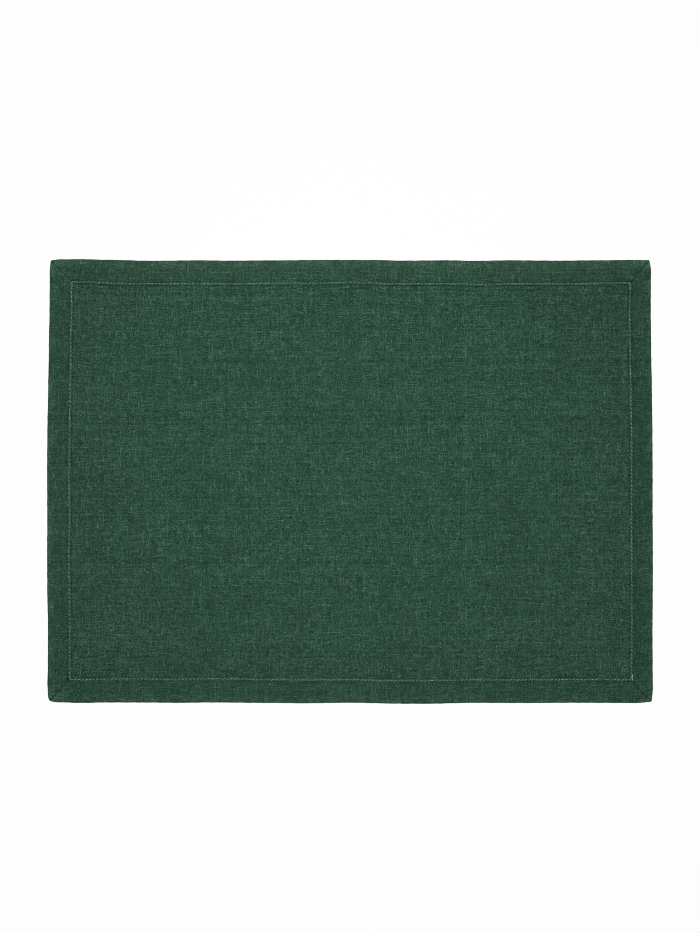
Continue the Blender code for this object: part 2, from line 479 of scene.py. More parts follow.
def weave_group():
    tree, given, result = new_group(
        "plain_weave",
        (
            ("Place", VECTOR, None),
            ("Warp Pitch", FLOAT, WARP_PITCH_MM * MM), ("Weft Pitch", FLOAT, WEFT_PITCH_MM * MM),
            ("Warp Contrast", FLOAT, 0.28), ("Weft Contrast", FLOAT, 0.50),
            ("Yarn Contrast", FLOAT, 0.70), ("Crossing Contrast", FLOAT, 1.1), ("Slubs", FLOAT, 0.8),
            ("Neps", FLOAT, 3.2), ("Fibre Contrast", FLOAT, 0.8), ("Depth Shade", FLOAT, 1.35),
        ),
        (("Tone", FLOAT), ("Height", FLOAT)),
    )
    x, y = parts_of(tree, given["Place"])
    sway = clouds(tree, given["Place"], SWAY_SCALE)
    spacing = clouds(tree, vector_of(tree, x * SPACING.x, y * SPACING.y, SPACING.start), 1.0)[0]
    beating = clouds(tree, vector_of(tree, x * BEATING.x, y * BEATING.y, BEATING.start), 1.0)[0]
    u = (x / given["Warp Pitch"]) + (sway[0] - 0.5) * SWAY + (spacing - 0.5) * SPACING_SWING
    v = (y / given["Weft Pitch"]) + (sway[1] - 0.5) * SWAY + (beating - 0.5) * SPACING_SWING
    i, j = u.floor(), v.floor()
    warp, weft = given["Warp Contrast"], given["Weft Contrast"]
    warp_inside, warp_tone = threads_one_way(tree, given, warp, i, v, u - i - 0.5, WARP_SALT)
    weft_inside, weft_tone = threads_one_way(tree, given, weft, j, u, v - j - 0.5, WEFT_SALT)
    warp_height = crossing_height(warp_inside, (v * math.pi).sine() * alternating(i))
    weft_height = crossing_height(weft_inside, (u * math.pi).sine() * alternating(j) * -1.0)
    warp_shows = warp_height.above(weft_height)
    lowest, highest = -THREAD_BOW, THREAD_BOW + THREAD_ROUNDNESS
    height = (warp_height.larger(weft_height).larger(lowest) - lowest) / (highest - lowest)

    chance_here = dice(tree, i, j)
    # Painted shade: the low places between the threads are painted darker.
    shade = (height.eased_between(*SHADE_RISE) - SHADE_MIDDLE) * given["Depth Shade"]
    tone = weft_tone.towards(warp_tone, warp_shows) + shade + 1.0
    tone = tone + (chance_here * chance_here - MEAN_SQUARED_CHANCE) * given["Crossing Contrast"]
    knob = warp_inside.smaller(weft_inside).eased_between(*KNOB_RISE)
    tone = tone + dice(tree, i + 0.5, j).above(1 - NEP_SHARE) * knob * given["Neps"]
    feed(tree, result.inputs["Tone"], tone)
    feed(tree, result.inputs["Height"], height + tone * TONE_IN_HEIGHT)
    return tree


plain_weave = weave_group()

# %% [markdown]
# ## Dyed linen's colour, with a painted sheen
#
# Dark places keep the full green of the dye. Paler tones are greyer as well as lighter: the paler stops are
# partly the paler fibres and partly a painted sheen, a little white gloss laid into the colour. The group
# turns a tone, with 1 for the cloth's middle tone, into a colour.

# %% Dye group
DyeStop = namedtuple("DyeStop", "tone colour")
# The paler stops hold a painted sheen as well as the dye.
DYE_AND_SHEEN_STOPS = (
    DyeStop(0.0, (0.0010, 0.0050, 0.0025)),
    DyeStop(0.54, (0.0134, 0.0423, 0.0256)),
    DyeStop(1.0, (0.0308, 0.0779, 0.0504)),
    DyeStop(2.0, (0.0801, 0.1561, 0.1111)),
    DyeStop(4.0, (0.1900, 0.3150, 0.2350)),
    DyeStop(7.0, (0.3800, 0.5200, 0.4300)),
)
DYE_TOP_TONE = 7.0


def dye_and_sheen_group():
    tree, given, result = new_group("dye_and_painted_sheen", (("Tone", FLOAT, 1.0),), (("Colour", COLOUR),))
    ramp = add_node(tree, "ValToRGB", (given["Tone"] / DYE_TOP_TONE,))
    stops = ramp.color_ramp.elements
    while len(stops) < len(DYE_AND_SHEEN_STOPS):
        stops.new(0.5)
    for stop, entry in zip(stops, DYE_AND_SHEEN_STOPS):
        stop.position = entry.tone / DYE_TOP_TONE
        stop.color = (*entry.colour, 1.0)
    feed(tree, result.inputs["Colour"], ramp.outputs["Color"])
    return tree


dye_and_painted_sheen = dye_and_sheen_group()

# %% [markdown]
# ## The linen
#
# The woven tone is joined by weak clouds of two sizes, and by what the cloth's mesh carries at each of its
# points. Its wear value is where a fold is rubbed pale, in patches, with a painted highlight where the fold
# rounds over, and below nothing it is painted shade where a crease stays dark. Its tone is that of each side
# of the hem, painted lighter or darker as the light falls on it, with painted shade down the needle holes
# and the mitre's groove, and paler near the corners. Its evenness is how much the iron has evened the
# weave out.

# %% Linen material
LINEN_STRENGTH = 0.649
LINEN_ROUGHNESS = 0.9
LINEN_GLOSS = 0.06
WEAVE_HEIGHT_MM = 0.32
Cloud = namedtuple("Cloud", "scale detail strength")
SMALL_CLOUDS = Cloud(60.0, 2.0, 0.13)
WIDE_CLOUDS = Cloud(17.0, 1.0, 0.16)
# Patches and strength of the fold wear, its painted highlights and its painted crease shade.
WORN_PATCHES = Cloud(95.0, 1.0, 1.3)
PATCH_RISE = (0.35, 0.68)
WORN_BETWEEN = 0.35
WEAR_AND_LIGHT_SHARE = 0.11


def linen_material():
    material, tree, shader = new_material("dark_green_linen", LINEN_ROUGHNESS, LINEN_GLOSS)
    place = map_place(tree, "cut_cloth")
    weave = use_group(tree, plain_weave, Place=place)
    small = clouds(tree, place, SMALL_CLOUDS.scale, SMALL_CLOUDS.detail)[0] - 0.5
    wide = clouds(tree, place, WIDE_CLOUDS.scale, WIDE_CLOUDS.detail)[1] - 0.5
    patch = clouds(tree, place, WORN_PATCHES.scale, WORN_PATCHES.detail)[2].eased_between(*PATCH_RISE)
    # Wear on the folds with a painted highlight where they round over; below nothing, painted crease shade.
    worn = attribute(tree, "worn") * (patch * WORN_PATCHES.strength + WORN_BETWEEN) * WEAR_AND_LIGHT_SHARE + 1.0
    evened = (weave["Tone"] - 1.0) * attribute(tree, "evenness").turned_from(1.0) + 1.0
    tone = evened * (small * SMALL_CLOUDS.strength + wide * WIDE_CLOUDS.strength + 1.0) * worn
    # The hem's tone per side is painted light, times painted shade in needle holes and the mitre's groove.
    tone = tone * attribute(tree, "tone_and_painted_light")
    colour = use_group(tree, dye_and_painted_sheen, Tone=tone * LINEN_STRENGTH)["Colour"]
    feed(tree, shader.inputs["Base Color"], colour)
    raise_surface(tree, shader, weave["Height"], WEAVE_HEIGHT_MM)
    return material


linen_finish = linen_material()

# %% [markdown]
# ## The sewing thread
#
# The thread is a lighter green than the cloth. Its fibres show as fine slanting streaks, and each stitch
# catches the light in its own way.

# %% Thread material
THREAD_STRENGTH = 2.15
THREAD_LIGHT_SWING = 0.2
THREAD_FIBRES = 0.6
THREAD_ROUGHNESS = 0.75
THREAD_GLOSS = 0.3
THREAD_BUMP_MM = 0.03


def thread_material():
    material, tree, shader = new_material("pale_green_thread", THREAD_ROUGHNESS, THREAD_GLOSS)
    along, across = parts_of(tree, map_place(tree, "yarn"))
    fibres = use_group(tree, spun_yarn, Along=along, Across=across, Number=0.0)["Fibres"]
    light = attribute(tree, "light") * THREAD_LIGHT_SWING + 1.0
    tone = ((fibres - 0.5) * THREAD_FIBRES + 1.0) * light * THREAD_STRENGTH
    feed(tree, shader.inputs["Base Color"], use_group(tree, dye_and_painted_sheen, Tone=tone)["Colour"])
    raise_surface(tree, shader, fibres, THREAD_BUMP_MM)
    return material


thread_finish = thread_material()

# %% [markdown]
# ## Where the cloth lies
#
# A point is worked out on a true rectangle first. Then its corner is rounded, and the uneven sides carry
# it out or in, with the faint, short ripple of a fold pressed by hand. The last step lays the middle of
# the outline's box over the frame's origin.

# %% The uneven outline
Wave = namedtuple("Wave", "length height")
RIPPLES = (Wave(7.3, 0.035), Wave(9.7, 0.045), Wave(13.9, 0.05))
RIPPLE_TURNS = {"bottom": 2.3, "right": 0.7, "top": 4.1, "left": 3.3}
RIPPLE_FADE = 16.0
OUTLINE_POINTS = 2001


def smooth(share):
    """Eases a share at both of its ends, and keeps it between nothing and one."""
    share = np.clip(share, 0, 1)
    return share * share * (3 - 2 * share)


def eased(table, along):
    """The table's value at these places, eased from each row to the next."""
    places = np.array([row.along for row in table], float)
    outs = np.array([row.out for row in table], float)
    here = np.clip(np.searchsorted(places, along) - 1, 0, len(places) - 2)
    share = smooth((along - places[here]) / (places[here + 1] - places[here]))
    return outs[here] + (outs[here + 1] - outs[here]) * share


def waves_along(waves, turn, along, base=0.0):
    """Waves of several lengths at places along a side, each one turned further than the last."""
    total = base + np.zeros_like(along)
    for number, wave in enumerate(waves, start=1):
        total = total + wave.height * np.sin(2 * math.pi * along / wave.length + turn * number)
    return total


def side_out(side, along, inwards):
    """How far a side stands out at places along it. Its ripple fades a little way in from the fold."""
    ripple = waves_along(RIPPLES, RIPPLE_TURNS[side], along)
    return eased(SIDE_WANDER[side], along) + ripple * smooth(1 - inwards / RIPPLE_FADE)


def round_corners(x, y):
    """Pulls the points of each corner's square onto a quarter disc."""
    over_x = np.maximum(np.abs(x) - (WIDTH / 2 - CORNER_RADIUS), 0.0)
    over_y = np.maximum(np.abs(y) - (DEPTH / 2 - CORNER_RADIUS), 0.0)
    less_x = over_x * (1 - np.sqrt(1 - (over_y / CORNER_RADIUS) ** 2 / 2))
    less_y = over_y * (1 - np.sqrt(1 - (over_x / CORNER_RADIUS) ** 2 / 2))
    return x - np.sign(x) * less_x, y - np.sign(y) * less_y


def off_true(x, y):
    """Moves points of the true rectangle to where the uneven sides carry them."""
    right_share = x / WIDTH + 0.5
    top_share = y / DEPTH + 0.5
    x_round, y_round = round_corners(x, y)
    right, left = side_out("right", y, WIDTH / 2 - x), side_out("left", y, x + WIDTH / 2)
    top, bottom = side_out("top", x, DEPTH / 2 - y), side_out("bottom", x, y + DEPTH / 2)
    out_x = right_share * right - (1 - right_share) * left
    out_y = top_share * top - (1 - top_share) * bottom
    return x_round + out_x, y_round + out_y


def outline_middle():
    """The middle of the uneven outline's box, which lies over the frame's origin."""
    across = np.linspace(-WIDTH / 2, WIDTH / 2, OUTLINE_POINTS)
    upward = np.linspace(-DEPTH / 2, DEPTH / 2, OUTLINE_POINTS)
    left, right = (off_true(np.full_like(upward, end * WIDTH / 2), upward)[0] for end in (-1, 1))
    bottom, top = (off_true(across, np.full_like(across, end * DEPTH / 2))[1] for end in (-1, 1))
    return (left.min() + right.max()) / 2, (bottom.min() + top.max()) / 2


MIDDLE_X, MIDDLE_Y = outline_middle()


def laid_out(x, y):
    """Where points of the true rectangle lie in the frame."""
    across, upward = off_true(x, y)
    return across - MIDDLE_X, upward - MIDDLE_Y


print("middle of the outline, mm:", round(MIDDLE_X, 3), round(MIDDLE_Y, 3))

# %% [markdown]
# ## The seam wanders too
#
# The hem was turned and stitched by hand and eye, so its inner edge and the stitches beside it wander
# by a few tenths of a millimetre. The table gives how far the seam stands out from its true line at even
# steps along each side. Near a corner, a side's wander fades over the first part of the sides next to it.

# %% Seam wander
SEAM_STEP = 30


def at_even_steps(first, *outs):
    """A wander table whose rows are even steps apart, from the first place on."""
    return tuple(Wander(first + SEAM_STEP * number, out) for number, out in enumerate(outs))


SEAM_WANDER = {
    "left": at_even_steps(-150, 0.0, 0.15, -0.1, 0.15, -0.15, 0.0, 0.0, -0.1, -0.05, 0.05, -0.1),
    "right": at_even_steps(-150, 0.1, 0.3, 0.15, -0.05, 0.1, 0.0, 0.2, 0.05, 0.05, -0.15, 0.1),
    "top": at_even_steps(
        -210, 0.6, -0.35, 0.15, 0.1, 0.0, 0.2, 0.1, 0.55,
        -0.1, 0.1, -0.3, -0.35, -0.05, -0.1, 0.35,
    ),
    "bottom": at_even_steps(
        -210, 0.1, -0.25, -0.15, -0.25, -0.35, 0.1, 0.0, 0.35,
        0.3, 0.25, 0.2, 0.2, 0.2, -0.05, 0.15,
    ),
}
SEAM_FADE = 20.0
Rectangle = namedtuple("Rectangle", "left right bottom top")


def seam_out(side, along, inwards):
    """How far the seam stands out at places along a side, fading a little way in from it."""
    return eased(SEAM_WANDER[side], along) * smooth(1 - inwards / SEAM_FADE)


def seam_shift(x, y, line):
    """Moves points on or inside a line that runs along the seam as the seam wanders."""
    out_x = seam_out("right", y, line.right - x) - seam_out("left", y, x - line.left)
    out_y = seam_out("top", x, line.top - y) - seam_out("bottom", x, y - line.bottom)
    return x + out_x, y + out_y


# %% [markdown]
# ## Swells and puffs
#
# A few long swells, lower than a coin is thick, are left in the panel after pressing. The hem puffs up
# and down along its length, where its layers were eased in before stitching.

# %% Swells and puffs
Swell = namedtuple("Swell", "length_x length_y turn height")
SWELLS = (
    Swell(210.0, 165.0, 0.6, 0.08),
    Swell(96.0, 128.0, 2.1, 0.05),
    Swell(61.0, 83.0, 4.0, 0.03),
    Swell(37.0, 44.0, 1.3, 0.015),
)
PUFFS = (Wave(83.0, 0.03), Wave(47.0, 0.06), Wave(29.0, 0.06), Wave(17.0, 0.035))
PUFF_TURNS = {"bottom": 0.4, "right": 1.9, "top": 3.1, "left": 5.2}
PUFF_FADE = 14.0


def swell_height(x, y):
    """How far the panel lifts off the table, never less than nothing."""
    total = sum(swell.height for swell in SWELLS) + np.zeros_like(x)
    for swell in SWELLS:
        wave = np.sin(2 * math.pi * x / swell.length_x + swell.turn)
        total = total + swell.height * wave * np.cos(2 * math.pi * y / swell.length_y)
    return total


def puff_height(side, along):
    """How far the hem of one side puffs up at places along it."""
    return waves_along(PUFFS, PUFF_TURNS[side], along, base=sum(puff.height for puff in PUFFS))


print("panel lifts up to", round(2 * sum(s.height for s in SWELLS), 2), "mm")
print("hem puffs up to", round(2 * sum(p.height for p in PUFFS), 2), "mm")

# %% [markdown]
# ## The turned hem, in section
#
# The hem is the cloth folded over twice, so its section is one long folded line: along the underside,
# round the outer fold, back over the top, round the inner edge, and under again to the raw edge. The
# cloth has thickness, so there are two such lines, one for each face. Each row below is a line that runs
# round the mat, given by its place and height. A place is measured inwards, from the outer fold or from
# the hem's inner edge. The top rises from the pressed fold to where the turned-in layer lies below it.
# `mitre` is how deep the groove between two hems is at that row, `lift` is how much the row follows the
# puffs, and `dent` is how deep the stitches pull it in. The last column is how much the row is rubbed pale,
# with a painted highlight where a fold rounds over, and below nothing it is painted shade: how dark the row
# is down in a crease. A column that is left out is nothing.

# %% Section tables
Row = namedtuple("Row", "start place height mitre lift dent worn", defaults=(0.0, 0.0, 0.0, 0.0))
FACE_ROWS = (
    Row("edge", 2.0, 0.0),
    Row("edge", -0.5, 0.02),
    Row("edge", -0.85, 0.13),
    # Faint painted shade along the seam on the underside.
    Row("edge", -1.1, 0.19, 0.0, 0.0, -0.04),
    Row("edge", -1.3, 0.21, 0.0, 0.0, -0.09),
    Row("edge", -1.5, 0.19, 0.0, 0.0, -0.04),
    Row("edge", -1.75, 0.13),
    Row("edge", -2.1, 0.02),
    Row("fold", 9.0, 0.0),
    Row("fold", 2.2, 0.0),
    # Round the outer fold: its wear and a painted highlight where the fold rounds over.
    Row("fold", 1.1, 0.02, 0.0, 0.0, 0.0, 0.1),
    Row("fold", 0.6, 0.08, 0.0, 0.0, 0.0, 0.4),
    Row("fold", 0.24, 0.19, 0.0, 0.0, 0.0, 0.7),
    Row("fold", 0.05, 0.33, 0.03, 0.0, 0.0, 0.8),
    Row("fold", 0.0, 0.47, 0.07, 0.1, 0.0, 0.8),
    Row("fold", 0.06, 0.62, 0.12, 0.15, 0.0, 0.8),
    Row("fold", 0.26, 0.77, 0.2, 0.2, 0.0, 0.8),
    Row("fold", 0.62, 0.87, 0.3, 0.3, 0.0, 1.8),
    Row("fold", 1.3, 0.94, 0.4, 0.4, 0.0, 2.2),
    Row("fold", 2.2, 1.01, 0.5, 0.5, 0.0, 2.1),
    Row("fold", 3.6, 1.12, 0.5, 0.7, 0.0, 1.6),
    Row("fold", 5.2, 1.24, 0.5, 0.85, 0.0, 0.8),
    Row("fold", 6.8, 1.34, 0.5, 1.0, 0.0, 0.3),
    Row("fold", 8.4, 1.42, 0.5, 1.0),
    Row("fold", 10.2, 1.475, 0.5, 1.0),
    Row("fold", 12.0, 1.505, 0.5, 1.0),
    Row("edge", -5.0, 1.515, 0.5, 0.9),
    # Painted shade in the hollow beside the stitches.
    Row("edge", -3.6, 1.505, 0.5, 0.7, 0.0, -0.6),
    Row("edge", -2.7, 1.46, 0.5, 0.4, 0.0, -1.6),
    Row("edge", -2.1, 1.33, 0.4, 0.2, 0.0, -1.0),
    Row("edge", -1.65, 1.15, 0.3, 0.1, 0.11),
    Row("edge", -1.3, 1.08, 0.3, 0.1, 0.14),
    # The hem's inner fold: its wear and a painted highlight where it rounds over.
    Row("edge", -0.95, 1.13, 0.3, 0.1, 0.05, 1.0),
    Row("edge", -0.64, 1.22, 0.3, 0.1, 0.0, 2.5),
    Row("edge", -0.36, 1.25, 0.3, 0.1, 0.0, 3.0),
    Row("edge", -0.14, 1.2, 0.3, 0.1, 0.0, 2.5),
    Row("edge", -0.03, 1.09, 0.2, 0.1),
    # Painted shade under the hem's inner fold.
    Row("edge", 0.0, 0.93, 0.1, 0.0, 0.0, -2.0),
    Row("edge", -0.03, 0.77, 0.0, 0.0, 0.0, -3.0),
    Row("edge", -0.13, 0.63),
    Row("edge", -0.36, 0.53),
    Row("edge", -0.8, 0.5),
    Row("edge", -1.3, 0.5),
    Row("edge", -2.1, 0.49),
    Row("edge", -TURN_IN, 0.47),
)
BACK_ROWS = (
    Row("edge", 2.4, 0.45),
    # Painted shade on the panel beside the hem's inner edge.
    Row("edge", 1.3, 0.45, 0.0, 0.0, 0.0, -0.2),
    Row("edge", 0.6, 0.45, 0.0, 0.0, 0.0, -1.4),
    Row("edge", 0.2, 0.452, 0.0, 0.0, 0.0, -2.4),
    Row("edge", -0.1, 0.455, 0.0, 0.0, 0.0, -3.2),
    Row("edge", -0.8, 0.475),
    Row("edge", -1.3, 0.485),
    Row("edge", -2.1, 0.46),
    Row("fold", 9.0, 0.45),
    Row("fold", 2.2, 0.445),
    Row("fold", 1.1, 0.445),
    Row("fold", 0.68, 0.45),
    Row("fold", 0.6, 0.47),
    Row("fold", 0.68, 0.49),
    Row("fold", 1.1, 0.50),
    Row("fold", 2.2, 0.56, 0.0, 0.2),
    Row("fold", 3.6, 0.67, 0.0, 0.7),
    Row("fold", 6.8, 0.89, 0.0, 1.0),
    Row("fold", 10.2, 1.025, 0.0, 1.0),
    Row("fold", 12.0, 1.055, 0.0, 1.0),
    Row("edge", -5.0, 1.065, 0.0, 0.9),
    Row("edge", -2.7, 1.0, 0.0, 0.4),
    Row("edge", -2.1, 0.92, 0.0, 0.2),
    Row("edge", -1.3, 0.78, 0.0, 0.1),
    Row("edge", -0.6, 0.84, 0.0, 0.1),
    Row("edge", -0.46, 0.825, 0.0, 0.1),
    Row("edge", -0.6, 0.81),
    Row("edge", -1.3, 0.765),
    Row("edge", -2.1, 0.88),
    Row("edge", -TURN_IN, 0.92),
)


def row_inset(row, side):
    """How far in from the outer fold this row runs on this side."""
    return row.place if row.start == "fold" else HEM_WIDTH[side] + row.place


def way_past_fold(rows, side):
    """How far out each row lay when the cloth was cut, past the outer fold, and negative before it."""
    reach = [-row_inset(rows[0], side)]
    for before, after in zip(rows, rows[1:]):
        across = row_inset(after, side) - row_inset(before, side)
        reach.append(reach[-1] + math.hypot(across, after.height - before.height))
    return reach


# %% [markdown]
# ## Lines round the mat
#
# Each row of the section becomes a closed line round the mat, with its corners on the mitres. Along a
# side, the points lie about one stitch apart, and a few more lie close to each corner, where the mitre's
# groove is narrow. Rows that the stitches dent have four times as many points. Between a plain line and a
# fine one, each face simply has more corners on the fine side.
#
# Each line also carries its own painted shade: it is painted dark down the needle holes and down the groove,
# where shade falls. Near the corners, where the mitres were pressed hardest, the cloth is paler, and its
# wear, painted highlights and painted crease shade are stronger.

# %% Lines
STITCH_COUNT = {"bottom": 151, "right": 103, "top": 149, "left": 95}
EVEN_STEPS = {"x": 148, "y": 98}
CORNER_STEPS = (0.14, 0.3, 0.5, 0.85, 1.5)
FINE_SPLIT = 4
GROOVE_HALF_WIDTH = 0.33
DENT_HALF_LENGTH = 0.7
# Painted shade down the needle holes and in the mitre's groove.
HOLE_SHADE = 0.5
GROOVE_SHADE = 0.92
CornerPale = namedtuple("CornerPale", "low_end high_end")
CORNER_PALE = {
    "bottom": CornerPale(0.15, 0.02), "right": CornerPale(0.10, 0.18),
    "top": CornerPale(0.10, 0.02), "left": CornerPale(0.05, 0.30),
}
# Near the corners, the fold wear, painted highlights and painted crease shade grow by this much.
CORNER_WEAR_AND_LIGHT = 0.9
CORNER_WEAR_REACH = 5.0
HEM_EVENNESS = 0.2
Line = namedtuple("Line", "x y true_x true_y side hole_gap from_mitre count")


def inset_rectangle(insets):
    """The true rectangle, with each of its sides moved in by its own inset."""
    return Rectangle(
        -WIDTH / 2 + insets["left"], WIDTH / 2 - insets["right"],
        -DEPTH / 2 + insets["bottom"], DEPTH / 2 - insets["top"],
    )


SEAM = inset_rectangle({side: HEM_WIDTH[side] - STITCHES_FROM_EDGE for side in SIDES})
SEAM_LENGTH = {"x": SEAM.right - SEAM.left, "y": SEAM.top - SEAM.bottom}
AXIS = {"bottom": "x", "right": "y", "top": "x", "left": "y"}
OUTWARDS = {"bottom": -1, "right": 1, "top": 1, "left": -1}


def shares_along(axis):
    """Places along one side, as shares of its length."""
    even = np.linspace(0, 1, EVEN_STEPS[axis] + 1)
    near = np.array(CORNER_STEPS) / SEAM_LENGTH[axis]
    return np.unique(np.concatenate([even, near, 1 - near]))


def split_finely(shares):
    places = np.arange((len(shares) - 1) * FINE_SPLIT + 1) / FINE_SPLIT
    return np.interp(places, np.arange(len(shares)), shares)


SHARES = {axis: shares_along(axis) for axis in ("x", "y")}
FINE_SHARES = {axis: split_finely(SHARES[axis]) for axis in ("x", "y")}


def row_rectangle(row):
    return inset_rectangle({side: row_inset(row, side) for side in SIDES})


def lines_through(box, shares):
    """Where lines at these shares of a rectangle's length and depth cross it."""
    across = box.left + (box.right - box.left) * shares["x"]
    return across, box.bottom + (box.top - box.bottom) * shares["y"]


def from_corner(x, y, box):
    """How far places on a rectangle's sides are from its nearest corner."""
    to_side = np.minimum(x - box.left, box.right - x)
    to_end = np.minimum(y - box.bottom, box.top - y)
    return np.maximum(to_side, to_end)


def gap_to_hole(share, side):
    """How far each place is from the nearest needle hole."""
    stitches = share * STITCH_COUNT[side]
    return np.abs(stitches - np.round(stitches)) * SEAM_LENGTH[AXIS[side]] / STITCH_COUNT[side]


def line_round(row):
    """One row as a line round the true rectangle: bottom, right, top and left, in that order."""
    box = row_rectangle(row)
    shares = FINE_SHARES if row.dent else SHARES
    across, upward = lines_through(box, shares)
    steps_x, steps_y = len(across) - 1, len(upward) - 1
    x = np.concatenate([across[:-1], np.full(steps_y, box.right), across[:0:-1], np.full(steps_y, box.left)])
    y = np.concatenate([np.full(steps_x, box.bottom), upward[:-1], np.full(steps_x, box.top), upward[:0:-1]])
    gap = np.concatenate([gap_to_hole(shares[AXIS[side]][:-1], side) for side in SIDES])
    side = np.repeat(np.arange(4), (steps_x, steps_y, steps_x, steps_y))
    true_x, true_y = x, y
    if row.start == "edge":
        x, y = seam_shift(x, y, box)
    return Line(x, y, true_x, true_y, side, gap, from_corner(true_x, true_y, box), len(x))


def groove(line):
    """One on the mitre, and nothing a little way from it."""
    return np.exp(-((line.from_mitre / GROOVE_HALF_WIDTH) ** 2))


def dents(line):
    """One at a needle hole, and nothing half way to the next."""
    return np.exp(-((line.hole_gap / DENT_HALF_LENGTH) ** 2))


def by_side(line, value):
    """A value at each point of a line that depends on its side and on its place along that side."""
    values = np.zeros_like(line.x)
    for number, side in enumerate(SIDES):
        along = line.x if AXIS[side] == "x" else line.y
        values = np.where(line.side == number, value(side, along), values)
    return values


def line_heights(row, line):
    """The height of each point of a line, with its puffs, its dents and the mitre's groove."""
    puffs = by_side(line, puff_height) * np.clip(line.from_mitre / PUFF_FADE, 0, 1)
    return row.height + row.lift * puffs - row.mitre * groove(line) - row.dent * dents(line)


def beside_mitre(line):
    """One on the mitre, fading over the cloth beside it."""
    return np.exp(-((line.from_mitre / CORNER_WEAR_REACH) ** 2))


def line_wear_and_painted_light(row, line):
    """Wear and painted highlight, or painted crease shade, at each point of a line: more near the corners.
    """
    return row.worn * (1 + CORNER_WEAR_AND_LIGHT * beside_mitre(line))


def pale_at_end(side, along):
    return np.where(along > 0, CORNER_PALE[side].high_end, CORNER_PALE[side].low_end)


def corner_paleness(line):
    """How much paler the cloth is beside each mitre, where the corners were pressed hardest."""
    return by_side(line, pale_at_end) * beside_mitre(line)


def line_shade(row, line):
    """Painted shade down the needle holes and the mitre's groove: one is not dark at all."""
    deepest_dent = max(other.dent for other in FACE_ROWS)
    deepest_groove = max(other.mitre for other in FACE_ROWS)
    in_holes = HOLE_SHADE * max(row.dent, 0.0) / deepest_dent * dents(line)
    in_groove = GROOVE_SHADE * row.mitre / deepest_groove * groove(line)
    return (1 - in_holes) * (1 - in_groove) * (1 + corner_paleness(line))


print("stitch, mm:", {side: round(SEAM_LENGTH[AXIS[side]] / STITCH_COUNT[side], 2) for side in SIDES})

# %% [markdown]
# ## The cloth as one closed sheet
#
# The two faces of the panel are grids that share their rim with the first line of each table. The lines
# then carry both faces out, round the folds and back to the raw edge, where a last strip closes the
# sheet. A map of the cloth as it was cut, before any folding, goes with it, so that the threads of the
# weave run on round the folds as real ones do.

# %% The cloth's mesh
SWELL_FADE = 9.0


def closed_mesh(name, points, faces, map_name, places, values, finish):
    """A smooth mesh with its faces turned outwards, with a map and with values at its points."""
    mesh = bpy.data.meshes.new(name)
    mesh.from_pydata(points, [], faces)
    new_map = mesh.uv_layers.new(name=map_name)
    new_map.data.foreach_set("uv", np.array(places, np.float32).ravel())
    for label, numbers in values:
        layer = mesh.attributes.new(label, "FLOAT", "POINT")
        layer.data.foreach_set("value", np.array(numbers, np.float32))
    bm = bmesh.new()
    bm.from_mesh(mesh)
    bmesh.ops.recalc_face_normals(bm, faces=bm.faces[:])
    bm.to_mesh(mesh)
    bm.free()
    mesh.shade_smooth()
    mesh.materials.append(finish)
    return mesh


def flat_place(side, past_fold, x, y):
    """Where points of a hem lay in the cut cloth, before it was folded."""
    if AXIS[side] == "x":
        return x, np.full_like(x, OUTWARDS[side] * (DEPTH / 2 + past_fold))
    return np.full_like(y, OUTWARDS[side] * (WIDTH / 2 + past_fold)), y


class ClothParts:
    """Gathers the cloth's points and faces, with their wear, painted light and flat places, as it is built.
    """

    def __init__(self):
        self.points = []
        self.values = []
        self.faces = []
        self.flat = []
        self.count = 0

    def add_points(self, x, y, z, worn, tone, evenness):
        self.points.append(np.stack([*laid_out(x, y), z], -1))
        self.values.append(np.stack(np.broadcast_arrays(worn, tone, evenness, x)[:3]))
        numbers = self.count + np.arange(len(x))
        self.count += len(x)
        return numbers

    def add_faces(self, faces, flat):
        self.faces += faces.tolist()
        self.flat.append(flat.reshape(-1, 2))


def add_panel(parts, row, tone):
    """Adds one face of the panel. Its rim has the order of the lines."""
    box = row_rectangle(row)
    x, y = np.meshgrid(*lines_through(box, SHARES))
    to_rim = np.minimum(np.minimum(x - box.left, box.right - x), np.minimum(y - box.bottom, box.top - y))
    z = row.height + smooth(to_rim / SWELL_FADE) * swell_height(x, y)
    flat = np.stack([x.ravel(), y.ravel()], -1)
    grid_shape = x.shape
    x, y = seam_shift(x, y, box)
    x, y, z = x.ravel(), y.ravel(), z.ravel()
    numbers = parts.add_points(x, y, z, row.worn, tone, 0.0).reshape(grid_shape)
    corners = [numbers[:-1, :-1], numbers[:-1, 1:], numbers[1:, 1:], numbers[1:, :-1]]
    faces = np.stack(corners, -1).reshape(-1, 4)
    parts.add_faces(faces, flat[faces - numbers[0, 0]])
    return np.concatenate([numbers[0, :-1], numbers[:-1, -1], numbers[-1, :0:-1], numbers[:0:-1, 0]])


